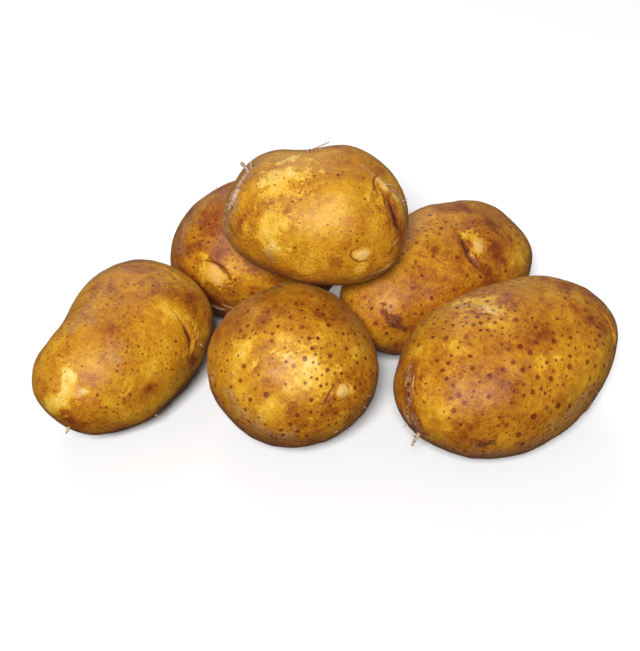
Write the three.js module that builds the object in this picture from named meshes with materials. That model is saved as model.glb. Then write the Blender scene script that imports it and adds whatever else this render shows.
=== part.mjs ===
// Potatoes in a small heap: five lie side by side on the table, and the sixth lies on top of them.
// Millimetres, +Z up, +X to the right along the heap and +Y away from its front.
// The origin is on the table, under the middle of the heap's bounding box.

import * as THREE from "three";
import { mergeVertices } from "three/addons/utils/BufferGeometryUtils.js";

// How often each edge of an icosahedron is cut to make the facets of a potato.
const FACET_CUTS = 8;
// How far a potato's underside is pressed flat where it lies on the table.
const FLAT_DEPTH = 0.5;
const SKIN_ROUGHNESS = 0.5;

// Each potato is described lying along its own +X with +Z up. Angles are in degrees.
//   color       the average colour of its skin
//   size        length, width and thickness
//   squareness  2 makes its sections ellipses, and more makes them fuller at the shoulders
//   taper       how much slimmer its +X end is, and fatter its -X end, as a share
//   swells      smooth rises, or hollows where high is negative: around turns from +X towards
//               +Y, up rises towards +Z, and wide is the spread
//   turn        how far it is turned about Z
//   at          where its middle is, which needs a height only for the potato on top
const POTATOES = {
  front_left: {
    color: "#d1942e",
    size: [85, 57, 53],
    squareness: 2.2,
    taper: 0.09,
    swells: [
      { around: -60, up: 28, high: -6, wide: 27 },
      { around: -120, up: 45, high: 2, wide: 30 },
      { around: 125, up: -25, high: -2, wide: 35 },
      { around: 62, up: -30, high: 3, wide: 30 },
      { around: -10, up: -20, high: -2, wide: 30 },
    ],
    turn: 230,
    at: [-68, 17],
  },
  front_middle: {
    color: "#cd8d2d",
    size: [69, 67, 62],
    squareness: 1.9,
    taper: 0.06,
    swells: [
      { around: -107, up: -8, high: 1, wide: 25 },
      { around: -36, up: 38, high: 1, wide: 25 },
      { around: 120, up: -18, high: -1, wide: 30 },
    ],
    turn: 90,
    at: [0, 3],
  },
  front_right: {
    color: "#be8128",
    size: [98, 65, 58],
    squareness: 2.2,
    taper: 0,
    swells: [
      { around: -160, up: -28, high: -2, wide: 28 },
      { around: 114, up: 27, high: 2, wide: 30 },
      { around: 80, up: -8, high: -2, wide: 35 },
      { around: -50, up: -10, high: -1.5, wide: 22 },
      { around: -97, up: -38, high: 1, wide: 25 },
      { around: -25, up: 15, high: 1, wide: 20 },
    ],
    turn: 37,
    at: [84, 4],
  },
  back_left: {
    color: "#b87f2f",
    size: [75, 57, 61],
    squareness: 2.1,
    taper: 0,
    swells: [
      { around: 165, up: 28, high: -3, wide: 30 },
      { around: -50, up: 47, high: -4, wide: 35 },
      { around: -130, up: -42, high: 1, wide: 25 },
    ],
    turn: 0,
    at: [-16, 74],
  },
  back_right: {
    color: "#b77624",
    size: [99, 54, 52],
    squareness: 2.2,
    taper: -0.08,
    swells: [
      { around: -8, up: 27, high: -4, wide: 30 },
      { around: 85, up: 45, high: 2.5, wide: 28 },
      { around: 155, up: 42, high: 5, wide: 30 },
      { around: -90, up: -5, high: -2.5, wide: 40 },
      { around: -165, up: -33, high: -2, wide: 25 },
    ],
    turn: 42,
    at: [60.5, 59.5],
  },
  top: {
    color: "#e0a634",
    size: [72, 56, 51],
    squareness: 2.3,
    taper: 0,
    swells: [
      { around: 113, up: 50, high: -3.5, wide: 25 },
      { around: 70, up: 50, high: 2, wide: 25 },
      { around: 175, up: 20, high: -2, wide: 28 },
      { around: -158, up: -8, high: 1.5, wide: 25 },
      { around: -18, up: -27, high: 2, wide: 30 },
      { around: -125, up: -42, high: -1.5, wide: 30 },
    ],
    turn: -12,
    at: [9, 43.5, 72.8],
  },
};

const FRONT_ROW = ["front_left", "front_middle", "front_right"];
const BACK_ROW = ["back_left", "back_right"];

const radians = THREE.MathUtils.degToRad;

// The unit vector at an angle around from +X towards +Y, and at an angle up towards +Z.
function direction(around, up) {
  const level = Math.cos(radians(up));
  const x = Math.cos(radians(around)) * level;
  const y = Math.sin(radians(around)) * level;
  return new THREE.Vector3(x, y, Math.sin(radians(up)));
}

// Where a potato's skin is in a direction from its middle.
function skinPoint({ size, squareness, taper, swells }, toward) {
  const shares = toward.toArray().map((part) => Math.abs(part) ** squareness);
  const reach = (shares[0] + shares[1] + shares[2]) ** (-1 / squareness);
  const point = toward.clone().multiplyScalar(reach);
  const girth = 1 - taper * point.x;
  point.multiply(new THREE.Vector3(size[0], size[1] * girth, size[2] * girth));
  point.divideScalar(2);
  for (const { around, up, high, wide } of swells) {
    const away = toward.angleTo(direction(around, up)) / radians(wide);
    point.addScaledVector(toward, high * Math.exp(-away * away));
  }
  return point;
}

// A ball of even facets that share their corners.
function facetBall() {
  const ball = new THREE.IcosahedronGeometry(1, FACET_CUTS);
  ball.deleteAttribute("normal");
  ball.deleteAttribute("uv");
  return mergeVertices(ball, 1e-5);
}

// A potato whose underside lies flat on the table, unless its place gives it a height.
function potatoMesh(name, potato) {
  const geometry = facetBall();
  const corners = geometry.getAttribute("position");
  const skin = [];
  for (let i = 0; i < corners.count; i++) {
    const toward = new THREE.Vector3().fromBufferAttribute(corners, i).normalize();
    skin.push(skinPoint(potato, toward));
  }

  const lowest = Math.min(...skin.map((point) => point.z));
  const [x, y, height = -lowest - FLAT_DEPTH] = potato.at;
  skin.forEach((point, i) => {
    corners.setXYZ(i, point.x, point.y, Math.max(point.z, -height));
  });
  geometry.computeVertexNormals();

  const material = new THREE.MeshStandardMaterial({
    color: potato.color,
    roughness: SKIN_ROUGHNESS,
    metalness: 0,
  });
  const mesh = new THREE.Mesh(geometry, material);
  mesh.name = name;
  mesh.rotation.z = radians(potato.turn);
  mesh.position.set(x, y, height);
  return mesh;
}

function potatoGroup(places) {
  const group = new THREE.Group();
  for (const place of places) {
    group.add(potatoMesh(`potato_${place}`, POTATOES[place]));
  }
  return group;
}

const heap = new THREE.Group();
heap.add(potatoGroup(FRONT_ROW), potatoGroup(BACK_ROW), potatoGroup(["top"]));

// The heap's middle goes over the origin.
const middle = new THREE.Box3().setFromObject(heap, true).getCenter(new THREE.Vector3());
heap.position.set(-middle.x, -middle.y, 0);

const potatoes = new THREE.Group();
potatoes.add(heap);

export default potatoes;
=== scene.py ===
"""Six potatoes in a small heap: sculpted skins with eyes, creases, lenticels, rootlets and loose skin.

Each skin is a fine ball cast onto its CAD solid, smoothed, and then sculpted. Lengths here are in
millimetres until a mesh is made, and a direction is (around from +X towards +Y, up towards +Z), in
degrees, seen from the middle of the potato's CAD box.
"""

import math

import bmesh
import bpy
import numpy as np
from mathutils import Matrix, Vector, kdtree
from mathutils.bvhtree import BVHTree


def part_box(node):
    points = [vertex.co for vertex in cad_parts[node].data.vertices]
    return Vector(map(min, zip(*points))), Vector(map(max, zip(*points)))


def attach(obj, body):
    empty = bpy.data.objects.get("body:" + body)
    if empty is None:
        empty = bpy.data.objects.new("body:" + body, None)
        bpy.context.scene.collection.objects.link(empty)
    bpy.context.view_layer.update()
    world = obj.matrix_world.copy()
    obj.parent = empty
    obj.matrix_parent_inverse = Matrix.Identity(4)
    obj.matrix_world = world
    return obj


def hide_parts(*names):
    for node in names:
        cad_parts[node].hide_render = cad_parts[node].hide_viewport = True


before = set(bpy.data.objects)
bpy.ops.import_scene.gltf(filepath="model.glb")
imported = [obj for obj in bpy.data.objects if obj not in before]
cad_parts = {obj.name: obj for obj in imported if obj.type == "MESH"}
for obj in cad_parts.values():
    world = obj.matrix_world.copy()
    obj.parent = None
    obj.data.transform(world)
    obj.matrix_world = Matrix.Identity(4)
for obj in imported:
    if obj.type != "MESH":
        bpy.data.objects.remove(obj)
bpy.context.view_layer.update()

MM = 0.001
BALL_CUTS = 80

# ------------ what each potato has on its skin
# grey patches are loose flaky skin, and on the rims also painted sheen
# seed        of its lumps, eyes, spots and rootlets, and of its colours unless look gives another
# tone        where the skin lies between dark brown (0) and pale cream (1)
# mottle      how strong its orange-brown stipple is
# patches     for each kind: path of directions, radius, strength
# domes       broad swellings: direction, radius, height
# eyes        direction, turn of the long way of the bud, size (long, short), height
# creases     path, width, depth, lip height, side of the lip (1 is the left of the path), darkness of the painted shade in the groove
# peels       thin light lines where the skin has split: path, width, strength
# lenticels   the largest spots: around, up, radius
# scatter     how many more round spots there are, and their least and greatest radius
# dots        the same for the small ones
# back_eyes   where ordinary eyes are
# roots       direction, lean to the right and up or in x, y and z, length, radius
# strands     roots that lie along the skin: path, radius
# nubs        sprouts, in the same terms as roots
# flakes      loose skin: path, width, lift, side of the free edge
POTATOES = {
    "top": dict(
        seed=11,
        tone=0.58,
        mottle=0.5,
        patches=dict(
            pale=[
                ([(-143, 56)], 7.5, 1.5), ([(-128, 28), (-127, 12)], 5.5, 1), ([(-98, -15)], 5, 0.7),
                ([(-58, -9)], 3, 0.9), ([(-28, 41)], 2.5, 0.5), ([(-94, 28), (-66, 34)], 11, 0.35),
                # painted highlight along the fold's ridge
                ([(-14, 25), (-18, 17), (-21, 9)], 1.7, 0.8),
            ],
            brown=[
                ([(-76, -3)], 4, 0.8), ([(-148, 12)], 4, 0.6), ([(-135, 36)], 3.5, 0.6),
                # the first patch below is painted shade in the fold's valley
                ([(-22, 27), (-27, 16), (-25, 0)], 4, 1.3), ([(4, 36)], 4, 0.7), ([(-54, 27)], 9, 0.3),
            ],
            grey=[
                ([(160, 40), (174, 34), (-166, 20), (-163, 0)], 3.6, 0.9), ([(-125, -4)], 2.5, 0.6),
                ([(-9, 26), (-11, 12), (-14, 2)], 1.8, 0.9),
            ],
            pink=[([(-2, 49), (-12, 41)], 1.2, 0.8)],
        ),
        eyes=[((-56, 2), 10, (3.4, 2.6), 0.6), ((-14, 34), 80, (3.2, 1.9), 0.9)],
        creases=[
            ([(-57, 9), (-62, 7), (-64, 3), (-61, -2), (-57, -4), (-51, -4)], 0.55, 0.5, 0.3, -1, 0.85),
            ([(-3, 40), (-12, 42), (-22, 39), (-27, 31)], 0.6, 0.7, 0.4, -1, 0.9),
            ([(-20, 29), (-24, 23), (-27, 14), (-25, 5)], 1.9, 1.1, 0.9, 1, 0.9),
            ([(-16, 33), (-24, 30), (-30, 22)], 0.5, 0.5, 0.2, 1, 0.9),
        ],
        peels=[
            ([(-26, 3), (-36, 0)], 0.35, 0.9), ([(-30, -10), (-36, -13), (-44, -16), (-52, -17)], 0.4, 1),
            ([(-128, 3), (-122, -6)], 0.3, 0.5),
        ],
        lenticels=[(-44, 63, 0.5), (-105, 10, 0.4), (-115, 45, 0.4)],
        scatter=(50, 0.33, 0.46),
        dots=(950, 0.18, 0.34),
        back_eyes=[(60, 35), (105, 5), (40, -15), (150, -30), (-90, -50), (-10, -45)],
        roots=[
            ((173, 35), (-0.35, 0.5, 0.6), 4.6, 0.8), ((171, 37), (0.6, 0.6, 0.9), 3, 0.62),
            ((-165, 17), (-1, -0.2, 0.3), 2.6, 0.4), ((100, 67), (1.9, 0.4, 0.4), 8.5, 0.36),
            ((-168, 10), (-0.2, 0.6), 1.6, 0.2), ((155, 33), (0, 0.8), 2.2, 0.12),
            ((-167, 24), (-0.9, 0, 0.7), 1.8, 0.3), ((-10, 17), (0.9, 0.1, 0.3), 2.2, 0.3),
            ((-13, 34), (1, -0.6, -0.3), 3.2, 0.28),
        ],
        strands=[([(-165, 13), (-166, 22), (-174, 30), (172, 36)], 1.2)],
        flakes=[
            ([(125, 71), (100, 73), (72, 68)], 1.6, 1.3, 1), ([(172, 44), (176, 30)], 1.3, 0.6, -1),
            ([(-174, 27), (-168, 14)], 1.3, 0.5, -1), ([(-170, 8), (-164, -4)], 1.1, 0.4, -1),
            ([(-10, 30), (-9, 20), (-10, 12)], 1.2, 0.5, 1),
        ],
    ),
    "back_left": dict(
        seed=22,
        tone=0.47,
        mottle=0.45,
        patches=dict(
            pale=[
                ([(-127, 14), (-121, 12)], 4.2, 2.2), ([(-112, 25), (-97, 14), (-83, 8)], 3.5, 0.55),
                ([(-165, 28)], 4, 0.4),
            ],
            brown=[([(-147, 24)], 3.2, 0.9), ([(-150, 4), (-125, -14)], 6, 0.7), ([(-160, 48)], 5, 0.4)],
            grey=[([(165, 48), (-172, 34), (-160, 18)], 5, 0.6)],
            pink=[([(-116, 8)], 2.2, 0.7)],
            bud=[([(-120, 11)], 3.2, 0.8)],
        ),
        domes=[((-123, 11), 6, 1.5)],
        creases=[
            ([(-140, 18), (-132, 22), (-124, 23), (-116, 20), (-110, 13), (-106, 5)], 0.7, 0.8, 0.4, 1, 0.9),
        ],
        peels=[([(-128, -16), (-118, -20)], 0.4, 0.8), ([(-116, -14), (-108, -18)], 0.3, 0.7)],
        lenticels=[
            (-144, 52, 0.55), (-146, 47, 0.6), (-106, 13, 0.5), (-92, 1, 0.6), (-100, -6, 0.5),
            (-141, 13, 0.5), (-135, 36, 0.5), (-150, 40, 0.5),
        ],
        scatter=(170, 0.35, 0.65),
        dots=(650, 0.22, 0.4),
        back_eyes=[(80, 20), (30, 30), (130, -5), (20, -20), (-20, 15)],
        roots=[
            ((-165, 24), (-0.5, 0.2), 1.8, 0.13), ((-170, 31), (-0.3, 0.6), 1.4, 0.1),
            ((150, 52), (-0.3, 0.6), 2.2, 0.14), ((-120, -20), (-0.5, 0.1), 2, 0.12),
        ],
        flakes=[([(-130, -16), (-116, -21)], 1.2, 0.6, -1), ([(-118, -13), (-107, -18)], 0.9, 0.5, -1)],
    ),
    "back_right": dict(
        seed=33,
        tone=0.5,
        mottle=0.6,
        patches=dict(
            pale=[
                ([(-24, 53), (-12, 62)], 3.2, 1.3), ([(2, 16)], 5, 0.6), ([(-118, 28), (-124, 18)], 5, 0.3),
            ],
            brown=[
                ([(-10, 39)], 4.5, 0.9), ([(-36, 32)], 3, 0.8), ([(77, 60), (56, 50)], 4.5, 0.8),
                ([(22, 46)], 4, 0.6), ([(-123, 15), (-112, 7)], 2.4, 0.7), ([(-104, 63)], 1.6, 0.9),
            ],
            pink=[([(-10, 55)], 1.4, 0.7)],
            scab=[([(-124, 16), (-118, 11), (-112, 7)], 1.6, 1)],
        ),
        eyes=[((-24, 54), 70, (3.2, 2.4), 0.7)],
        creases=[
            ([(8, 77), (-24, 70), (-41, 61), (-47, 50), (-45, 42), (-39, 34)], 1, 1.2, 0.8, 1, 1),
            ([(-4, 65), (-30, 59)], 0.5, 0.4, 0.2, 1, 0.5),
            ([(-108, 64), (-99, 56), (-82, 50)], 0.45, 0.35, 0.15, 1, 0.6),
        ],
        lenticels=[
            (49, 88, 0.75), (-66, 56, 0.85), (-110, 40, 0.6), (-126, 9, 0.8), (-120, 5, 0.8), (-17, 20, 0.6),
            (8, 29, 0.65), (-80, 30, 0.6), (-130, 16, 0.6),
        ],
        scatter=(280, 0.4, 0.75),
        dots=(800, 0.22, 0.45),
        back_eyes=[(100, 20), (60, 10), (140, 30), (170, 5), (20, -15), (-80, -20)],
        roots=[((120, 40), (0.3, 0.5), 1.5, 0.12), ((-95, -24), (0.3, 0.1), 1.8, 0.12)],
        flakes=[([(-108, -22), (-97, -27)], 1.1, 0.6, -1)],
    ),
    "front_left": dict(
        seed=44,
        tone=0.56,
        mottle=0.4,
        patches=dict(
            pale=[
                ([(-116, 21), (-116, 13)], 2.6, 1.5), ([(-116, 12), (-119, 6), (-126, 0)], 2.9, 1.5),
                ([(-92, 5)], 4, 0.7), ([(-5, 51), (-9, 42)], 3.5, 0.8), ([(-48, 28), (-66, 18)], 6, 0.45),
                ([(-35, 45)], 8, 0.4), ([(40, 39), (26, 32)], 2, 0.6),
                # painted highlight along the ridge beside the crease
                ([(-3, 34), (-4, 24), (-9, 15)], 2.2, 0.7),
            ],
            brown=[
                ([(145, 64)], 4, 0.7), ([(24, 59)], 5, 0.8), ([(16, 50), (16, 36)], 6, 0.8),
                ([(-22, 8), (-16, 0)], 3, 1), ([(-66, 6)], 3.5, 0.8), ([(-104, 22)], 2.6, 0.7),
                ([(-130, 10)], 2.4, 0.7), ([(-118, -2)], 3.5, 0.8), ([(-34, 6)], 6, 0.6),
            ],
            grey=[([(-142, 58)], 7, 0.6), ([(-87, 34)], 3, 0.6), ([(130, 45), (100, 40)], 7, 0.4)],
            pink=[([(-109, 14)], 2, 0.9)],
        ),
        eyes=[((-108, 14), 30, (1.8, 1.3), 0.35)],
        creases=[
            ([(-5, 46), (-9, 38), (-12, 31)], 0.5, 0.3, 0.2, 1, 0.6),
            ([(-9, 35), (-13, 26), (-14, 18), (-19, 9)], 1.1, 0.8, 0.7, 1, 0.95),
            ([(75, 47), (58, 42), (44, 38)], 0.8, 0.3, 0.4, 1, 0.3),
            ([(-113, 21), (-109, 17), (-102, 13)], 0.5, 0.4, 0.2, 1, 0.4),
        ],
        lenticels=[(-80, 8, 0.6), (-100, 12, 0.5), (-95, 3, 0.5)],
        scatter=(140, 0.32, 0.5),
        dots=(1000, 0.22, 0.38),
        back_eyes=[(100, 20), (170, 5), (60, -10), (130, -25), (30, -30)],
        roots=[
            ((-62, -27), (0.3, -0.3), 2.2, 0.3), ((-6, 7), (0.4, 0, -0.9), 1.4, 0.45),
            ((-160, 32), (-0.4, 0.3), 1.5, 0.12), ((168, 42), (-0.4, 0.5), 1.3, 0.1),
            ((150, 50), (-0.2, 0.6), 1.3, 0.1), ((-95, -30), (-0.2, -0.4), 1.6, 0.16),
        ],
        nubs=[((-118, -14), (-0.2, -0.5), 3, 0.5)],
        flakes=[([(44, 43), (33, 37), (24, 29)], 0.8, 0.5, -1)],
    ),
    "front_middle": dict(
        seed=55,
        look=58,
        tone=0.56,
        mottle=0.55,
        patches=dict(
            pale=[
                ([(-140, 41)], 4, 0.7), ([(-76, 38), (-68, 32)], 7.5, 1), ([(-102, 58)], 4, 0.5),
                ([(-25, 32)], 4, 0.7), ([(-107, 13)], 3.5, 0.7), ([(-58, 13)], 2.2, 0.6),
            ],
            brown=[
                ([(-144, 65)], 4, 0.7), ([(-15, 70)], 4, 0.6), ([(-109, 29)], 3.5, 0.6),
                ([(-88, 15)], 3.5, 0.6), ([(-65, 10)], 3, 0.6), ([(-54, 27)], 1.4, 0.9),
                ([(-66, 16)], 1.6, 0.9),
            ],
            grey=[([(-134, 11), (-120, 0), (-92, -12)], 4, 0.6)],
            pink=[([(-107, 36), (-91, 45)], 1, 1), ([(-103, 34), (-96, 37)], 0.7, 0.8)],
        ),
        eyes=[((-54, 18), 15, (3.3, 2.7), 0.75)],
        creases=[
            ([(-56, 24), (-62, 21), (-66, 17), (-70, 11)], 0.5, 0.5, 0.3, -1, 0.8),
            ([(-50, 23), (-48, 18), (-50, 13)], 0.45, 0.4, 0.2, 1, 0.7),
            ([(-62, 16), (-58, 12), (-53, 12)], 0.45, 0.4, 0.2, 1, 0.7),
            ([(-70, -13), (-62, -15), (-55, -12)], 0.6, 0.5, 0.4, 1, 0.6),
        ],
        peels=[([(-109, 46), (-94, 51)], 0.35, 0.5), ([(-64, -15), (-56, -16)], 0.4, 0.9)],
        lenticels=[
            (-52, 43, 0.85), (-107, 22, 1), (-86, 10, 0.85), (-91, 3, 0.75), (-28, 60, 0.85),
            (-115, 57, 0.65), (-116, 68, 0.65), (-144, 65, 0.65), (-66, 59, 0.65), (-24, 48, 0.6),
            (-10, 39, 0.65), (8, 53, 0.65), (44, 70, 0.65), (-43, 15, 0.65), (-118, 15, 0.75),
            (-121, 7, 0.65), (-130, 34, 0.75), (-129, 24, 0.75), (-135, 17, 0.65),
        ],
        scatter=(330, 0.42, 0.8),
        dots=(500, 0.25, 0.5),
        back_eyes=[(100, 40), (60, 10), (150, 25), (20, -15), (180, -20)],
        roots=[
            ((-154, 10), (-0.5, -0.5), 2.6, 0.2), ((-33, 2), (0.6, -0.2), 1.6, 0.18),
            ((-36, -6), (0.5, -0.5), 1.4, 0.14), ((-80, -32), (-0.2, -0.4), 1.6, 0.16),
        ],
        flakes=[
            ([(-158, 17), (-152, 8)], 1.2, 0.5, -1), ([(-72, -11), (-61, -14), (-51, -10)], 2.2, 0.6, 1),
            ([(-90, -20), (-78, -20)], 1.6, 0.5, 1),
        ],
    ),
    "front_right": dict(
        seed=66,
        tone=0.545,
        mottle=0.6,
        patches=dict(
            pale=[
                ([(-163, 23)], 4, 0.7), ([(-143, 39)], 4, 0.6), ([(-133, 72)], 4, 0.6),
                ([(-66, 42)], 4, 0.6), ([(28, 39)], 4, 0.6), ([(-129, 12)], 5, 0.6), ([(9, 14)], 3, 0.9),
                ([(132, 67)], 3, 0.9), ([(155, 47), (148, 56), (154, 66), (170, 76)], 3.2, 0.8),
                ([(156, 68), (175, 77)], 2.4, 1.2),
            ],
            brown=[
                ([(110, 78)], 4, 0.7), ([(45, 38)], 5, 0.7), ([(4, 26)], 4, 0.8), ([(-170, 38)], 4, 0.4),
                ([(-39, 58)], 4, 0.6), ([(-61, 15)], 4, 0.6), ([(174, 50)], 4, 0.7),
                ([(-158, 22), (-150, 12), (-141, 2), (-142, -10)], 3.2, 1),
                ([(176, 56), (178, 64)], 2.2, 0.9), ([(-106, -3)], 3.2, 0.8),
            ],
            grey=[
                ([(-159, 19), (-154, 15)], 1.4, 1), ([(-150, 12), (-146, 8)], 1.3, 1.1),
                ([(-143, 3), (-141, -4), (-142, -12)], 1.5, 1.1), ([(158, 52), (164, 62)], 1.6, 0.8),
                ([(-128, -12), (-106, -14), (-84, -18), (-58, -8), (-30, 4)], 4.5, 0.55),
            ],
            pink=[([(176, 66), (172, 73), (-165, 76)], 1.6, 1.2)],
            scab=[([(-108, -4), (-103, -2)], 1.1, 0.7)],
        ),
        eyes=[((166, 71), 60, (2.6, 1.3), 0.35)],
        creases=[
            ([(178, 61), (-178, 69), (-164, 75)], 0.6, 0.6, 0.4, 1, 0.8),
            ([(168, 50), (164, 58), (168, 66)], 0.45, 0.4, 0.2, 1, 0.6),
            ([(18, 29), (12, 23), (8, 19), (4, 12)], 0.9, 0.8, 0.7, 1, 0.8),
            ([(-153, 21), (-147, 15), (-143, 12)], 0.4, 0.25, 0.1, 1, 0.8),
            ([(-143, 7), (-139, 2), (-138, -3)], 0.4, 0.25, 0.1, 1, 0.7),
            ([(-158, 14), (-152, 7)], 0.4, 0.3, 0.2, 1, 0.6),
        ],
        peels=[
            ([(-153, 20), (-146, 12)], 0.4, 0.7), ([(173, 69), (-178, 73), (-168, 77)], 0.5, 0.9),
            ([(-150, 4), (-145, -6)], 0.5, 0.8),
        ],
        lenticels=[
            (-80, 10, 1.2), (-61, 11, 1.1), (-88, 57, 1), (-76, 52, 1), (-64, 58, 0.9), (-41, 53, 1),
            (-43, 32, 1), (-26, 26, 0.9), (-80, 27, 0.9), (-74, 35, 0.9), (-87, 41, 0.9), (-95, 46, 0.8),
            (-103, 41, 0.8), (-111, 36, 0.9), (-125, 37, 0.85), (-158, 41, 0.9), (-124, 23, 0.9),
            (-134, 27, 0.8), (-124, 15, 0.9), (-89, -1, 1.1), (-86, -10, 0.9), (-155, 63, 0.8),
        ],
        scatter=(460, 0.42, 0.9),
        dots=(600, 0.25, 0.5),
        back_eyes=[(80, 20), (110, -5), (50, -15), (20, -30), (-20, -20)],
        roots=[
            ((-141, -9), (-0.3, -0.6, -1.5), 5.4, 0.62), ((-140, -10), (-1.2, 0, -0.5), 2.6, 0.5),
            ((-148, -8), (-0.7, -0.2), 1.6, 0.3), ((-22, -12), (0.5, 0.2), 2.4, 0.14),
            ((-18, -6), (0.3, 0.7), 2, 0.12), ((-28, -18), (0.4, -0.3), 1.6, 0.12),
            ((62, 50), (0, 0.6), 1.6, 0.12), ((20, 42), (0.4, 0.6), 2.2, 0.14),
        ],
        flakes=[([(-158, 20), (-152, 12)], 1, 0.35, -1), ([(-146, 6), (-144, -4)], 1.2, 0.4, -1)],
    ),
}
OFF_THE_FLOOR = "top"


# ------------ fine balls on the CAD solids
def geodesic_ball(cuts):
    """The unit vectors and triangles of an icosahedron whose edges are cut evenly."""
    seed = bmesh.new()
    bmesh.ops.create_icosphere(seed, subdivisions=1, radius=1)
    corners = np.array([[v.co for v in f.verts] for f in seed.faces], float)
    seed.free()
    steps = [(i, j) for i in range(cuts + 1) for j in range(cuts + 1 - i)]
    at = {ij: k for k, ij in enumerate(steps)}
    shares = np.array([(cuts - i - j, i, j) for i, j in steps], float) / cuts
    points = np.einsum("mk,fkx->fmx", shares, corners).reshape(-1, 3)
    points /= np.linalg.norm(points, axis=1)[:, None]
    tris = []
    for i in range(cuts):
        for j in range(cuts - i):
            tris.append((at[i, j], at[i + 1, j], at[i, j + 1]))
            if i + j < cuts - 1:
                tris.append((at[i + 1, j], at[i + 1, j + 1], at[i, j + 1]))
    tris = np.array(tris)[None] + (np.arange(len(corners)) * len(steps))[:, None, None]
    _, first, back = np.unique(np.round(points, 6), axis=0, return_index=True, return_inverse=True)
    tris = back.reshape(-1)[tris.reshape(-1, 3)]
    unit = points[first]
    a, b, c = unit[tris[0]]
    faces_out = a @ np.cross(b - a, c - a) > 0
    return unit, tris if faces_out else tris[:, ::-1]


BALL, TRIS = geodesic_ball(BALL_CUTS)
SIDES = np.concatenate([TRIS[:, [0, 1]], TRIS[:, [1, 2]], TRIS[:, [2, 0]]])
EDGES = np.unique(np.sort(SIDES, axis=1), axis=0)
DEGREE = np.bincount(EDGES.ravel(), minlength=len(BALL))
# The mean edge on the unit ball. An even triangle's edge squared is about 2.3 times its area.
BALL_EDGE = math.sqrt(4 * math.pi / len(TRIS) * 2.3)
USUAL_REACH = 30  # from a potato's middle to its skin
FACET_BLUR = 2.6  # how far the CAD solid's facets are smoothed
SMOOTHING = 0.6  # how far each round of smoothing draws a corner to its neighbours' mean
WAVES = 40  # how many waves add up to noise
PATH_STEPS = 8  # between two directions of a path
TINTS = ("pale", "brown", "grey", "pink", "line", "peel", "scab", "bud")


def smoothed(values, rounds):
    """Values at the ball's corners, each drawn towards the mean of its neighbours."""
    a, b = EDGES.T
    for _ in range(rounds):
        near = np.bincount(a, values[b], len(values)) + np.bincount(b, values[a], len(values))
        values = values + SMOOTHING * (near / DEGREE - values)
    return values


def corner_normals(points):
    a, b, c = (points[TRIS[:, k]] for k in range(3))
    facing = np.cross(b - a, c - a)
    total = np.stack([
        sum(np.bincount(TRIS[:, k], facing[:, axis], len(points)) for k in range(3))
        for axis in range(3)
    ], axis=1)
    return total / np.linalg.norm(total, axis=1)[:, None]


def toward(around, up):
    """The unit vector in a direction."""
    a, u = math.radians(around), math.radians(up)
    return np.array([math.cos(a) * math.cos(u), math.sin(a) * math.cos(u), math.sin(u)])


def waves(points, scale, rng):
    """Smooth seeded noise of about that scale, with a spread of about 1."""
    ways = rng.normal(size=(WAVES, 3))
    ways /= np.linalg.norm(ways, axis=1)[:, None]
    ways *= (2 * math.pi / scale * rng.uniform(0.6, 1.5, WAVES))[:, None]
    phase = rng.uniform(0, 2 * math.pi, WAVES)
    return math.sqrt(2 / WAVES) * np.cos(points @ ways.T + phase).sum(1)


def smoothstep(low, high, x):
    t = np.clip((x - low) / (high - low), 0, 1)
    return t * t * (3 - 2 * t)


def fading_ends(along, power):
    """1 half way along a path, and nearly 0 at its ends."""
    return np.sin(math.pi * np.clip(along, 0.02, 0.98)) ** power


def bell(away):
    return np.exp(-(away**2))


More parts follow.
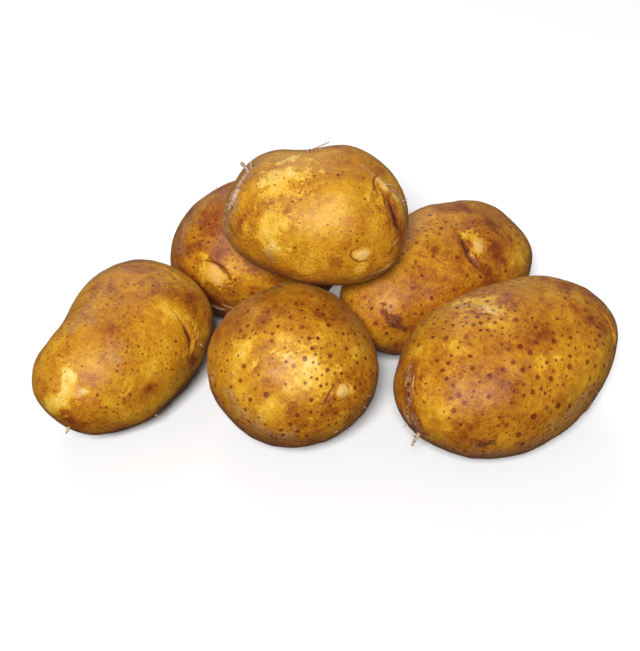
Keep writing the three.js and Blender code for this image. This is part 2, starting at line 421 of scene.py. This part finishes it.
class Skin:
    """The ball of one potato while it is sculpted, in millimetres."""

    def __init__(self, node, seed):
        low, high = (np.array(corner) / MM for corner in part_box(node))
        self.middle = (low + high) / 2
        self.rng = np.random.default_rng(seed)
        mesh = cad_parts[node].data
        corners = np.array([v.co for v in mesh.vertices]) / MM
        faces = [tuple(p.vertices) for p in mesh.polygons]
        tree = BVHTree.FromPolygons([Vector(c) for c in corners], faces)
        start = Vector(self.middle)
        reach = np.array([tree.ray_cast(start, Vector(d))[3] or 0.0 for d in BALL])
        rounds = round(3 * (FACET_BLUR / (BALL_EDGE * reach.mean())) ** 2)
        self.points = self.middle + BALL * smoothed(reach, rounds)[:, None]
        self.normals = corner_normals(self.points)
        self.height = np.zeros(len(BALL))
        self.tint = {kind: np.zeros(len(BALL)) for kind in TINTS}

    def spot(self, around, up):
        """The corner nearest a direction."""
        return int(np.argmax(BALL @ toward(around, up)))

    def nearest(self, point):
        """The corner nearest a point."""
        return int(np.argmin(np.linalg.norm(self.points - point, axis=1)))

    def add_tint(self, kind, near, share):
        self.tint[kind][near] = np.maximum(self.tint[kind][near], share)

    def frame_at(self, i, turn=0):
        """The surface's right, up and outward directions there, turned anticlockwise."""
        out = self.normals[i]
        up = np.array([0, 0, 1.0]) - out[2] * out
        if np.linalg.norm(up) < 0.05:
            up = np.array([0, 1.0, 0]) - out[1] * out
        up /= np.linalg.norm(up)
        right = np.cross(up, out)
        c, s = math.cos(math.radians(turn)), math.sin(math.radians(turn))
        return c * right + s * up, c * up - s * right, out

    def path(self, directions, samples=None):
        """Points on the skin along a smooth curve through directions."""
        ways = np.array([toward(*d) for d in directions])
        if len(ways) == 1:
            return self.points[[self.spot(*directions[0])]]
        ends = np.concatenate([[2 * ways[0] - ways[1]], ways, [2 * ways[-1] - ways[-2]]])
        samples = samples or PATH_STEPS * (len(ways) - 1) + 1
        found = []
        for s in np.linspace(0, len(ways) - 1, samples):
            k = min(int(s), len(ways) - 2)
            t = s - k
            p0, p1, p2, p3 = ends[k : k + 4]
            way = 0.5 * (2 * p1 + (p2 - p0) * t + (2 * p0 - 5 * p1 + 4 * p2 - p3) * t**2
                         + (3 * p1 - p0 - 3 * p2 + p3) * t**3)
            found.append(self.points[int(np.argmax(BALL @ (way / np.linalg.norm(way))))])
        line = np.array(found)
        for _ in range(2):
            line[1:-1] = (line[:-2] + 2 * line[1:-1] + line[2:]) / 4
        return line

    def measure(self, line, within):
        """For the corners near a line: which they are, how far, how far along, and on which side."""
        if len(line) == 1:
            away = np.linalg.norm(self.points - line[0], axis=1)
            near = np.nonzero(away < within)[0]
            return near, away[near], np.full(len(near), 0.5), np.zeros(len(near))
        low, high = line.min(0) - within, line.max(0) + within
        near = np.nonzero(((self.points > low) & (self.points < high)).all(1))[0]
        p = self.points[near]
        best, along, side = np.full(len(near), np.inf), np.zeros(len(near)), np.zeros(len(near))
        lengths = np.linalg.norm(np.diff(line, axis=0), axis=1)
        runs = np.concatenate([[0], np.cumsum(lengths)])
        for k, (a, b) in enumerate(zip(line[:-1], line[1:])):
            d = b - a
            t = np.clip((p - a) @ d / max(d @ d, 1e-9), 0, 1)
            off = p - (a + t[:, None] * d)
            away = np.linalg.norm(off, axis=1)
            closer = away < best
            best = np.where(closer, away, best)
            along = np.where(closer, (runs[k] + t * lengths[k]) / runs[-1], along)
            turn = np.einsum("ij,ij->i", np.cross(np.broadcast_to(d, off.shape), off), self.normals[near])
            side = np.where(closer, np.sign(turn), side)
        keep = best < within
        return near[keep], best[keep], along[keep], side[keep]

    def patch(self, kind, directions, radius, strength):
        """A patch of colour that fades to nothing 1.6 radii away. A scab stands a little proud."""
        near, away, _, _ = self.measure(self.path(directions), radius * 2.2)
        wobble = 1 + 0.3 * self.ragged[near] + 0.2 * self.rough[near]
        share = strength * (1 - smoothstep(0.1, 1.6, away * wobble / radius))
        self.add_tint(kind, near, share)
        if kind == "scab":
            self.height[near] += share * (0.25 + 0.2 * self.rough[near])
            self.add_tint("brown", near, 0.5 * share)

    def dome(self, direction, width, height):
        i = self.spot(*direction)
        away = np.linalg.norm(self.points - self.points[i], axis=1)
        self.height += height * bell(away / width)

    def bud(self, direction, turn, size, height):
        """A small oval swelling in a shallow hollow."""
        i = self.spot(*direction)
        right, up, _ = self.frame_at(i, turn)
        off = self.points - self.points[i]
        x, y = off @ right / size[0], off @ up / size[1]
        away = np.linalg.norm(off, axis=1)
        # the last term keeps the potato's far side out of it
        q = np.sqrt(x * x + y * y + (away / 9) ** 4) * (1 + 0.1 * self.ragged)
        on_bud = q < 3
        top = np.where(on_bud, np.exp(-(q**2) * (1 - 0.45 * np.clip(x, -1, 1))), 0)
        self.height += height * top * (1 + 0.08 * self.rough)
        self.height -= 0.4 * height * bell(away / (2.1 * size[0]))
        self.add_tint("pale", slice(None), 1.1 * top)
        self.add_tint("bud", slice(None), np.where(on_bud, np.exp(-(q**2.6)), 0))

    def crease(self, directions, width, depth, lip, lip_side, dark):
        """A groove with a raised lip, mostly along one side, with painted shade along it: a dark line and a
        brown band.
        """
        near, away, along, side = self.measure(self.path(directions), width * 7)
        ends = fading_ends(along, 0.6)
        away = away * (1 + 0.15 * self.rough[near])
        narrow = width * (0.55 + 0.45 * ends)
        groove = bell(away / narrow)
        self.height[near] -= depth * ends * groove
        raised = np.where(side * lip_side > 0, 1.0, 0.25)
        self.height[near] += lip * ends * raised * (1 - groove) * bell(away / (3.2 * width))
        # painted shade in the groove: a dark line, and a wider band added to the brown tint
        self.add_tint("line", near, dark * ends * bell(away / (0.8 * narrow)))
        self.add_tint("brown", near, 0.5 * dark * ends * bell(away / (2.6 * width)))

    def peel(self, directions, width, strength):
        near, away, along, _ = self.measure(self.path(directions), width * 5)
        share = strength * fading_ends(along, 0.5) * bell(away / width)
        self.add_tint("peel", near, share)
        self.height[near] += 0.2 * share

    def small_eye(self, *direction):
        """An ordinary eye: a short brow over a small bud."""
        i = self.spot(*direction)
        turn = self.rng.uniform(-40, 40)
        size = self.rng.uniform(0.8, 1.3)
        right, up, _ = self.frame_at(i, turn)
        arc = [
            self.points[i] + size * 3.4 * (math.cos(a) * right + 0.75 * math.sin(a) * up)
            for a in np.linspace(math.radians(25), math.radians(155), 5)
        ]
        ways = []
        for p in arc:
            d = (p - self.middle) / np.linalg.norm(p - self.middle)
            ways.append((math.degrees(math.atan2(d[1], d[0])), math.degrees(math.asin(d[2]))))
        self.bud(direction, turn, (2.1 * size, 1.5 * size), 0.7 * size)
        self.crease(ways, 0.7, 0.7 * size, 0.5 * size, -1, 0.75)

    def seeds(self, spec):
        """Where lenticels and dots are: a corner, a radius and a tone for each."""
        found = [(self.spot(a, u), r, self.rng.uniform(0.75, 1)) for a, u, r in spec["lenticels"]]
        at = [self.points[i] for i, _, _ in found]
        radii = [r for _, r, _ in found]
        crowd = waves(self.points, 26, self.rng)

        def scatter(count, low, high, palest):
            """Add up to that many where they are clear of the others, mostly where it is crowded."""
            for _ in range(count * 6):
                if count == 0:
                    break
                i = int(self.rng.integers(len(BALL)))
                r = low + (high - low) * self.rng.random() ** 2
                tone = self.rng.uniform(palest, 1.0)
                if self.rng.random() > 0.6 + 0.45 * crowd[i]:
                    continue
                if at:
                    gap = np.linalg.norm(np.array(at) - self.points[i], axis=1)
                    if (gap < 2.3 * np.maximum(radii, r) + 1.0).any():
                        continue
                at.append(self.points[i])
                radii.append(r)
                found.append((i, r, tone))
                count -= 1

        scatter(*spec["scatter"], 0.6)
        scatter(*spec["dots"], 0.25)
        return found

    def lenticels(self, spec):
        """Where each corner is from the nearest spot's middle, in radii, and what that spot is like."""
        found = self.seeds(spec)
        tree = kdtree.KDTree(len(found))
        for k, (i, _, _) in enumerate(found):
            tree.insert(self.points[i], k)
        tree.balance()
        nearest = [tree.find_n(p, 2) for p in self.points]
        first = np.array([n[0][1] for n in nearest])
        d1, d2 = (np.array([n[k][2] for n in nearest]) for k in range(2))
        corner, radius, tone = (np.array(column)[first] for column in zip(*found))
        self.spot_offset = (self.points - self.points[corner]) / radius[:, None]
        # spots fade out half way to the next one, because the offset jumps there, and on buds and scabs
        margin = 1.3 * BALL_EDGE * USUAL_REACH
        bare = np.maximum(self.tint["bud"], self.tint["scab"])
        self.spot_fade = np.clip((d2 - d1 - margin) / 0.4, 0, 1) * (1 - smoothstep(0.15, 0.5, bare))
        self.spot_tone = tone
        self.spot_size = radius
        raised = np.where(radius > 0.55, 0.1, 0.03)
        q = d1 / radius
        self.height += self.spot_fade * raised * (bell(q) - 0.6 * bell(q / 0.45))

    def sculpt(self, spec, on_floor):
        rng = self.rng
        self.ragged = waves(self.points, 7, rng)
        self.rough = waves(self.points, 1.6, rng)
        lumps = 0.25 * waves(self.points, 26, rng) + 0.06 * waves(self.points, 9, rng)
        self.height += lumps - 0.15 + 0.01 * waves(self.points, 2.6, rng)
        for kind, patches in spec["patches"].items():
            for args in patches:
                self.patch(kind, *args)
        features = {
            "domes": self.dome, "eyes": self.bud, "creases": self.crease,
            "back_eyes": self.small_eye, "peels": self.peel,
        }
        for kind, make in features.items():
            for args in spec.get(kind, []):
                make(*args)
        self.height += 0.06 * self.tint["grey"] * self.rough
        self.lenticels(spec)
        self.final = self.points + self.normals * self.height[:, None]
        if on_floor:
            self.final[:, 2] = np.maximum(self.final[:, 2], 0)


def mesh_object(name, points, faces, material):
    mesh = bpy.data.meshes.new(name)
    mesh.from_pydata((np.asarray(points) * MM).tolist(), [], [tuple(map(int, f)) for f in faces])
    mesh.polygons.foreach_set("use_smooth", [True] * len(mesh.polygons))
    mesh.materials.append(material)
    mesh.update()
    piece = bpy.data.objects.new(name, mesh)
    bpy.context.scene.collection.objects.link(piece)
    return piece


def vector_attribute(piece, name, columns):
    layer = piece.data.attributes.new(name, "FLOAT_VECTOR", "POINT")
    layer.data.foreach_set("vector", np.stack(columns, axis=1).astype(np.float32).ravel())


# ------------ materials
def linear(hexed):
    """The linear colour that an sRGB hex colour stands for."""
    parts = [int(hexed[k : k + 2], 16) / 255 for k in (1, 3, 5)]
    return tuple(c / 12.92 if c <= 0.04045 else ((c + 0.055) / 1.055) ** 2.4 for c in parts) + (1.0,)


def set_stops(ramp, stops):
    """Give a new colour ramp these places and colours."""
    ramp.elements.remove(ramp.elements[1])
    for k, (place, color) in enumerate(stops):
        stop = ramp.elements[0] if k == 0 else ramp.elements.new(place)
        stop.position = place
        stop.color = color


class Nodes:
    """Short names for the shader nodes that the materials use."""

    def __init__(self, name):
        self.material = bpy.data.materials.new(name)
        self.material.use_nodes = True
        self.tree = self.material.node_tree
        self.tree.nodes.clear()

    def put(self, socket, value):
        if isinstance(value, bpy.types.NodeSocket):
            self.tree.links.new(value, socket)
        else:
            socket.default_value = value

    def node(self, kind, **settings):
        made = self.tree.nodes.new(kind)
        for key, value in settings.items():
            setattr(made, key, value)
        return made

    def math(self, operation, a, b=0.0, c=None):
        n = self.node("ShaderNodeMath", operation=operation)
        self.put(n.inputs[0], a)
        self.put(n.inputs[1], b)
        if c is not None:
            self.put(n.inputs[2], c)
        return n.outputs[0]

    def add(self, a, b):
        return self.math("ADD", a, b)

    def times(self, a, b):
        return self.math("MULTIPLY", a, b)

    def plus(self, base, *parts):
        """The base with each part's share of its value added."""
        for share, value in parts:
            base = self.math("MULTIPLY_ADD", value, share, base)
        return base

    def step(self, value, low, high, to_low=0.0, to_high=1.0):
        n = self.node("ShaderNodeMapRange", interpolation_type="SMOOTHSTEP")
        for socket, v in zip(n.inputs[:5], (value, low, high, to_low, to_high)):
            self.put(socket, v)
        return n.outputs[0]

    def mix(self, share, a, b):
        n = self.node("ShaderNodeMix", data_type="RGBA")
        self.put(n.inputs[0], share)
        self.put(n.inputs[6], a)
        self.put(n.inputs[7], b)
        return n.outputs[2]

    def noise(self, coords, size, detail=2.0, roughness=0.5, distortion=0.0):
        n = self.node("ShaderNodeTexNoise")
        self.put(n.inputs["Vector"], coords)
        self.put(n.inputs["Scale"], 1 / size)
        self.put(n.inputs["Detail"], detail)
        self.put(n.inputs["Roughness"], roughness)
        self.put(n.inputs["Distortion"], distortion)
        return n.outputs["Fac"]

    def pepper(self, coords, spacing, radius):
        """Small soft dots, about that far apart, whose radii differ."""
        n = self.node("ShaderNodeTexVoronoi")
        self.put(n.inputs["Vector"], coords)
        self.put(n.inputs["Scale"], 1 / spacing)
        parts = self.node("ShaderNodeSeparateColor")
        self.put(parts.inputs[0], n.outputs["Color"])
        reach = self.times(parts.outputs[0], radius / spacing * 1.6)
        return self.step(self.math("SUBTRACT", n.outputs["Distance"], reach), -0.12, 0.1, 1.0, 0.0)

    def ramp(self, share, stops):
        n = self.node("ShaderNodeValToRGB")
        set_stops(n.color_ramp, [(place, linear(hexed)) for place, hexed in stops])
        self.put(n.inputs[0], share)
        return n.outputs[0]

    def attribute(self, name):
        n = self.node("ShaderNodeAttribute", attribute_name=name)
        parts = self.node("ShaderNodeSeparateXYZ")
        self.put(parts.inputs[0], n.outputs["Vector"])
        return n.outputs["Vector"], parts.outputs

    def coords(self, seed=0.0):
        """Object coordinates in millimetres, shifted by the seed."""
        n = self.node("ShaderNodeTexCoord")
        scaled = self.node("ShaderNodeVectorMath", operation="MULTIPLY_ADD")
        self.put(scaled.inputs[0], n.outputs["Object"])
        scaled.inputs[1].default_value = (1 / MM,) * 3
        scaled.inputs[2].default_value = (seed * 37.0, seed * 11.0, seed * 23.0)
        return scaled.outputs[0]

    def stretch(self, coords, shares):
        n = self.node("ShaderNodeVectorMath", operation="MULTIPLY")
        self.put(n.inputs[0], coords)
        n.inputs[1].default_value = shares
        return n.outputs[0]

    def surface(self, color, roughness, normal, **fixed):
        shader = self.node("ShaderNodeBsdfPrincipled")
        self.put(shader.inputs["Base Color"], color)
        self.put(shader.inputs["Roughness"], roughness)
        if normal is not None:
            self.put(shader.inputs["Normal"], normal)
        for key, value in fixed.items():
            shader.inputs[key.replace("_", " ")].default_value = value
        out = self.node("ShaderNodeOutputMaterial")
        self.put(out.inputs["Surface"], shader.outputs[0])
        return self.material

    def bump(self, height_mm, strength=1.0):
        n = self.node("ShaderNodeBump")
        self.put(n.inputs["Height"], height_mm)
        n.inputs["Strength"].default_value = strength
        n.inputs["Distance"].default_value = MM
        return n.outputs[0]


SKIN_STOPS = [
    (0.0, "#2a0903"), (0.2, "#5c2206"), (0.38, "#8f490c"), (0.54, "#b57513"),
    (0.7, "#cf961e"), (0.85, "#dfb03c"), (1.0, "#eccc78"),
]
SCAB_STOPS = [(0.38, "#3a1206"), (0.62, "#8a4519")]
SKIN_COLORS = {
    "stipple": "#7d3f0c",
    "brown": "#7b2f0c",
    "grey": "#9c7656",
    "grey_fleck": "#d0ab80",
    "grey_crack": "#58220e",
    "pink": "#c48a60",
    "bud": "#dfb673",
    "halo": "#97470c",
    "spot": "#561603",
    "crease": "#380f05",
    "peel": "#dcc08c",
    "painted_underside_shade": "#4c1807",
}


def skin_material(name, spec):
    n = Nodes("skin_" + name)
    p = n.coords(spec.get("look", spec["seed"]))
    _, (pale, brown, grey) = n.attribute("tints")
    _, (line, peel, pink) = n.attribute("marks")
    spot, _ = n.attribute("spot")
    _, (fade, spot_tone, spot_size) = n.attribute("spot_kind")
    _, (scab, low, bud) = n.attribute("extra")

    # noise from broad to fine, by the size of its features
    broad = n.noise(p, 26, 2, 0.5, 0.4)
    cloud = n.noise(p, 8, 4, 0.62, 0.6)
    blotch = n.noise(p, 3.2, 3, 0.6)
    fine = n.noise(p, 1.1, 3, 0.65)
    grain = n.noise(p, 0.42, 2, 0.6)

    # patches get ragged edges from the finer noise
    ragged = n.add(n.plus(n.times(fine, 0.3), (0.5, blotch)), -0.4)

    def patchy(value, raggedness, low, high):
        return n.step(n.plus(value, (raggedness, ragged)), low, high)

    pale_share = patchy(pale, 0.4, 0.0, 1.1)
    brown_share = patchy(brown, 0.9, 0.0, 1.2)
    grey_share = patchy(grey, 1.1, 0.05, 1.1)
    pink_share = n.times(patchy(pink, 1.0, 0.15, 0.9), n.step(fine, 0.35, 0.6, 0.25, 0.7))
    bud_share = n.times(patchy(bud, 0.8, 0.15, 0.95), n.step(fine, 0.3, 0.6, 0.35, 0.75))
    scab_share = patchy(scab, 1.3, 0.25, 0.75)
    peel_share = patchy(peel, 0.5, 0.2, 0.75)

    # the tone varies less finely where the skin is pale
    calm = n.plus(1.0, (-0.6, pale_share))
    tone = spec["tone"]
    for weight, noise in ((0.5, broad), (0.42, cloud), (0.32, blotch)):
        tone = n.plus(tone, (weight, n.add(noise, -0.5)))
    for weight, noise in ((0.34, fine), (0.24, grain)):
        tone = n.plus(tone, (weight, n.times(n.add(noise, -0.5), calm)))
    # painted shade: the tone drops where the skin faces down (low)
    tone = n.plus(tone, (0.3, pale_share), (-0.2, brown_share), (-0.18, low))
    color = n.ramp(n.math("MAXIMUM", tone, 0.0), SKIN_STOPS)

    def tinted(strength, share, kind):
        return n.mix(n.times(share, strength), color, linear(SKIN_COLORS[kind]))

    # orange-brown stipple in drifts
    drift = n.step(n.noise(p, 11, 2, 0.5), 0.42, 0.66)
    drift = n.plus(n.times(brown_share, 0.4), (spec["mottle"], drift))
    color = tinted(1.0, n.times(drift, n.pepper(p, 1.15, 0.3)), "stipple")
    color = tinted(0.2, brown_share, "brown")

    # greyish loose skin with flecks and cracks, partly painted sheen where it lies on the rims; pinkish
    # scars, buds and dark scabs
    fibres = n.noise(n.stretch(p, (1.0, 1.0, 0.3)), 0.9, 3, 0.65, 0.8)
    color = tinted(0.6, grey_share, "grey")
    color = tinted(0.6, n.times(grey_share, n.step(fibres, 0.52, 0.62)), "grey_fleck")
    color = tinted(0.65, n.times(grey_share, n.step(fibres, 0.38, 0.47, 1.0, 0.0)), "grey_crack")
    color = tinted(1.0, pink_share, "pink")
    color = tinted(1.0, bud_share, "bud")
    color = n.mix(n.times(scab_share, 0.85), color, n.ramp(fine, SCAB_STOPS))

    # lenticels: an orange halo, a dark disc, and a lighter middle in the large ones
    length = n.node("ShaderNodeVectorMath", operation="LENGTH")
    n.put(length.inputs[0], spot)
    radii_away = n.plus(length.outputs["Value"], (0.7, n.add(fine, -0.5)))
    shown = n.times(fade, spot_tone)
    halo = n.times(n.step(radii_away, 0.9, 2.3, 1.0, 0.0), shown)
    disc = n.times(n.step(radii_away, 0.7, 1.35, 1.0, 0.0), shown)
    middle = n.times(n.step(radii_away, 0.3, 0.65, 1.0, 0.0), n.step(spot_size, 0.55, 0.85))
    disc = n.times(disc, n.plus(1.0, (-0.35, middle)))
    color = tinted(0.5, halo, "halo")
    color = tinted(0.95, disc, "spot")

    # painted shade: creases get a dark line and the skin that faces down is darkened; split skin is light
    color = tinted(0.85, n.step(line, 0.15, 0.9), "crease")
    color = tinted(0.75, peel_share, "peel")
    color = tinted(0.35, low, "painted_underside_shade")

    rough = n.plus(0.43, (0.35, n.add(fine, -0.5)), (0.12, grey_share), (0.2, scab_share))
    rough = n.plus(rough, (-0.04, pale_share))

    # how high the finest relief is, in millimetres
    relief = n.plus(n.times(fine, 0.25), (0.17, grain), (0.1, blotch))
    relief = n.plus(relief, (0.5, n.times(grey_share, fibres)), (-0.06, disc))
    relief = n.plus(relief, (0.4, n.times(scab_share, fine)))
    return n.surface(
        color,
        rough,
        n.bump(relief, 0.8),
        Specular_IOR_Level=0.3,
        Sheen_Weight=0.04,
        Sheen_Roughness=0.45,
        Sheen_Tint=linear("#cdbcae"),
    )


# ------------ the skins
skins = {}
for place, spec in POTATOES.items():
    node = "potato_" + place
    skin = Skin(node, spec["seed"])
    skin.sculpt(spec, place != OFF_THE_FLOOR)
    piece = mesh_object("skin_" + place, skin.final, TRIS, skin_material(place, spec))
    tint = skin.tint
    # low drives painted shade on the skin that faces down
    low = smoothstep(0.1, -0.8, skin.normals[:, 2])  # how far the skin faces down
    vector_attribute(piece, "tints", [tint["pale"], tint["brown"], tint["grey"]])
    vector_attribute(piece, "marks", [tint["line"], tint["peel"], tint["pink"]])
    vector_attribute(piece, "spot", list(skin.spot_offset.T))
    vector_attribute(piece, "spot_kind", [skin.spot_fade, skin.spot_tone, skin.spot_size])
    vector_attribute(piece, "extra", [tint["scab"], low, tint["bud"]])
    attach(piece, "root")
    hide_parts(node)
    skins[place] = skin


# ------------ rootlets, sprouts and loose skin
def tube(path, radii, sides=7):
    """A closed tube along a path: its points and faces."""
    path, radii = np.asarray(path, float), np.asarray(radii, float)
    ways = np.gradient(path, axis=0)
    ways /= np.linalg.norm(ways, axis=1)[:, None]
    across = np.cross(ways[0], [0.3, 0.5, 0.8])
    points, faces = [], []
    for p, d, r in zip(path, ways, radii):
        across = across - (across @ d) * d
        across /= np.linalg.norm(across)
        other = np.cross(d, across)
        for k in range(sides):
            a = 2 * math.pi * k / sides
            points.append(p + r * (math.cos(a) * across + math.sin(a) * other))
    last = len(path) - 1
    for i in range(last):
        for k in range(sides):
            m = (k + 1) % sides
            faces.append((i * sides + k, i * sides + m, (i + 1) * sides + m, (i + 1) * sides + k))
    faces.append(tuple(reversed(range(sides))))
    faces.append(tuple(last * sides + k for k in range(sides)))
    return points, faces


ROOT_STEPS, ROOT_WANDER, SPROUT_WANDER = 8, 0.09, 0.04
THICK_ROOT = 0.6  # roots this thick taper less
SUNK = 0.5  # how deep in the skin a root starts
STRAND_SAMPLES, STRAND_SIDES = 14, 9
FLAKE_SAMPLES, FLAKE_ROWS, FLAKE_THICKNESS = 25, 6, 0.09


def grow(skin, direction, lean, length, radius, blunt=False):
    """A rootlet, or a blunt sprout, that leaves the skin and wanders a little."""
    i = skin.spot(*direction)
    right, up, out = skin.frame_at(i)
    way = out + (np.array(lean) if len(lean) == 3 else lean[0] * right + lean[1] * up)
    way /= np.linalg.norm(way)
    at = skin.final[i] - SUNK * way
    path, radii = [at], [radius * 1.5]
    for k in range(1, ROOT_STEPS + 1):
        t = k / ROOT_STEPS
        way = way + skin.rng.normal(size=3) * (SPROUT_WANDER if blunt else ROOT_WANDER)
        way /= np.linalg.norm(way)
        at = at + way * (length + SUNK) / ROOT_STEPS
        path.append(at)
        if blunt:
            radii.append(radius * (1.1 + 0.15 * math.sin(3 * t)) * math.sqrt(max(1 - t**3, 0.04)))
        else:
            slimming = 0.65 if radius < THICK_ROOT else 0.3
            radii.append(radius * (1.1 - slimming * t) * skin.rng.uniform(0.85, 1.15))
    return tube(path, radii)


def strand(skin, directions, radius):
    """A root that lies along the skin, knobbly and thickest in its middle."""
    line = skin.path(directions, STRAND_SAMPLES)
    path, radii = [], []
    for k, p in enumerate(line):
        i = skin.nearest(p)
        bulge = 0.3 + 0.7 * math.sin(math.pi * k / (len(line) - 1))
        radii.append(radius * bulge * skin.rng.uniform(0.85, 1.15))
        path.append(skin.final[i] + skin.normals[i] * 0.1 * radii[-1] + skin.rng.normal(size=3) * 0.08)
    return tube(path, radii, STRAND_SIDES)


def flake(skin, directions, width, lift, side):
    """A thin sheet of skin held along a path, whose other edge is ragged and curls up."""
    line = skin.path(directions, FLAKE_SAMPLES)
    upper, lower = [], []
    wander = skin.rng.uniform(0.5, 1.0, len(line))
    wander = np.convolve(np.pad(wander, 1, mode="edge"), [0.25, 0.5, 0.25], mode="valid")
    for k, (p, way) in enumerate(zip(line, np.gradient(line, axis=0))):
        i = skin.nearest(p)
        base, out = skin.final[i], skin.normals[i]
        way = way - (way @ out) * out
        over = side * np.cross(out, way / np.linalg.norm(way))
        ends = fading_ends(k / (len(line) - 1), 0.5)
        reach = width * wander[k] * (0.15 + 0.85 * ends)
        for u in np.linspace(0, 1, FLAKE_ROWS):
            rise = -0.06 + lift * wander[k] * u**1.6 * ends + 0.14 * u
            # the sheet follows the potato's roundness
            rise -= 0.5 * (reach * u) ** 2 / 28
            top = base + over * (reach * u - 0.15 * lift * u**3) + out * rise
            upper.append(top + out * FLAKE_THICKNESS / 2)
            lower.append(top - out * FLAKE_THICKNESS / 2)
    rows, across, count = len(line), FLAKE_ROWS, len(upper)
    faces = []
    for r in range(rows - 1):
        for m in range(across - 1):
            a = r * across + m
            quad = (a, a + across, a + across + 1, a + 1)
            faces.append(quad)
            faces.append(tuple(count + q for q in reversed(quad)))
    rim = list(range(across))
    rim += [r * across + across - 1 for r in range(1, rows)]
    rim += [(rows - 1) * across + m for m in range(across - 2, -1, -1)]
    rim += [r * across for r in range(rows - 2, 0, -1)]
    for a, b in zip(rim, rim[1:] + rim[:1]):
        faces.append((a, b, count + b, count + a))
    if side < 0:
        faces = [face[::-1] for face in faces]
    return upper + lower, faces


def joined(parts):
    """The points and faces of several parts as one mesh's."""
    points, faces = [], []
    for p, f in parts:
        faces += [tuple(k + len(points) for k in face) for face in f]
        points += list(p)
    return points, faces


def loose_material(name, dark, light, size, roughness):
    n = Nodes(name)
    p = n.coords()
    cloud = n.noise(p, size, 4, 0.6, 0.5)
    fibre = n.noise(p, size / 4, 2, 0.5)
    share = n.step(n.plus(n.times(cloud, 0.6), (0.5, fibre)), 0.36, 0.74)
    color = n.mix(share, linear(dark), linear(light))
    rough = n.plus(roughness - 0.1, (0.2, fibre))
    return n.surface(color, rough, n.bump(n.times(fibre, 0.12), 0.7), Specular_IOR_Level=0.35)


ROOT = loose_material("rootlet", "#7c5a44", "#d0b096", 1.2, 0.6)
SPROUT = loose_material("sprout", "#a98a52", "#d8cba0", 0.9, 0.5)
LOOSE = loose_material("loose_skin", "#80502a", "#b58d5c", 1.6, 0.5)
EXTRAS = [("roots", "rootlets_", ROOT), ("nubs", "sprouts_", SPROUT), ("flakes", "loose_skin_", LOOSE)]
for place, spec in POTATOES.items():
    skin = skins[place]
    for kind, prefix, material in EXTRAS:
        if kind not in spec:
            continue
        if kind == "flakes":
            parts = [flake(skin, *args) for args in spec[kind]]
        else:
            parts = [grow(skin, *args, blunt=kind == "nubs") for args in spec[kind]]
        if kind == "roots":
            parts += [strand(skin, *args) for args in spec.get("strands", [])]
        piece = mesh_object(prefix + place, *joined(parts), material)
        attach(piece, "root")

# ------------ floor, light and camera
HALF_FLOOR = 3.0
QUARTERS = [(-1, -1), (1, -1), (1, 1), (-1, 1)]
floor_mesh = bpy.data.meshes.new("floor")
floor_mesh.from_pydata([(x * HALF_FLOOR, y * HALF_FLOOR, 0) for x, y in QUARTERS], [], [(0, 1, 2, 3)])
floor = bpy.data.objects.new("floor", floor_mesh)
bpy.context.scene.collection.objects.link(floor)
paper = Nodes("floor_paper")
floor_mesh.materials.append(paper.surface((0.94, 0.94, 0.94, 1), 0.8, None))
# the floor throws no colour back on the potatoes
floor.visible_diffuse = False
floor.visible_glossy = False

# The world glows most near the horizon: how bright it is at heights from straight down (0) to up (1).
GLOW_STOPS = [(0.42, 0.06), (0.49, 0.4), (0.54, 0.4), (0.62, 0.12)]
world = bpy.data.worlds.new("studio")
bpy.context.scene.world = world
world.use_nodes = True
sky = world.node_tree
glow = sky.nodes["Background"]
glow.inputs["Color"].default_value = (1, 1, 1, 1)
heading = sky.nodes.new("ShaderNodeTexCoord")
axes = sky.nodes.new("ShaderNodeSeparateXYZ")
height = sky.nodes.new("ShaderNodeMapRange")
level = sky.nodes.new("ShaderNodeValToRGB")
sky.links.new(heading.outputs["Generated"], axes.inputs[0])
sky.links.new(axes.outputs["Z"], height.inputs["Value"])
height.inputs["From Min"].default_value = -1.0
sky.links.new(height.outputs[0], level.inputs[0])
set_stops(level.color_ramp, [(place, (share, share, share, 1)) for place, share in GLOW_STOPS])
sky.links.new(level.outputs[0], glow.inputs["Strength"])


def soft_light(name, place, size, power, gloss=1.0):
    data = bpy.data.lights.new(name, "AREA")
    data.shape = "DISK"
    data.size = size
    data.energy = power
    data.specular_factor = gloss
    lamp = bpy.data.objects.new(name, data)
    lamp.location = place
    aim = Vector((0, 0, 0.03)) - Vector(place)
    lamp.rotation_euler = aim.to_track_quat("-Z", "Y").to_euler()
    bpy.context.scene.collection.objects.link(lamp)


soft_light("key", (-0.30, -2.10, 2.23), 0.9, 119.0)
soft_light("back", (-0.50, 2.30, 1.60), 2.0, 26.0, 0.0)

CAMERA_AIM = Vector((-0.0028, -0.0071, 0.030))
CAMERA_DISTANCE = 0.6
CAMERA_ELEVATION = math.radians(42)
camera_data = bpy.data.cameras.new("camera")
camera_data.lens = 83
camera_data.sensor_width = 36
camera_data.clip_start = 0.01
camera = bpy.data.objects.new("camera", camera_data)
back = Vector((0, -math.cos(CAMERA_ELEVATION), math.sin(CAMERA_ELEVATION)))
camera.location = CAMERA_AIM + back * CAMERA_DISTANCE
camera.rotation_euler = (-back).to_track_quat("-Z", "Y").to_euler()
bpy.context.scene.collection.objects.link(camera)
bpy.context.scene.camera = camera
bpy.context.scene.view_settings.view_transform = "Standard"

bpy.context.view_layer.update()
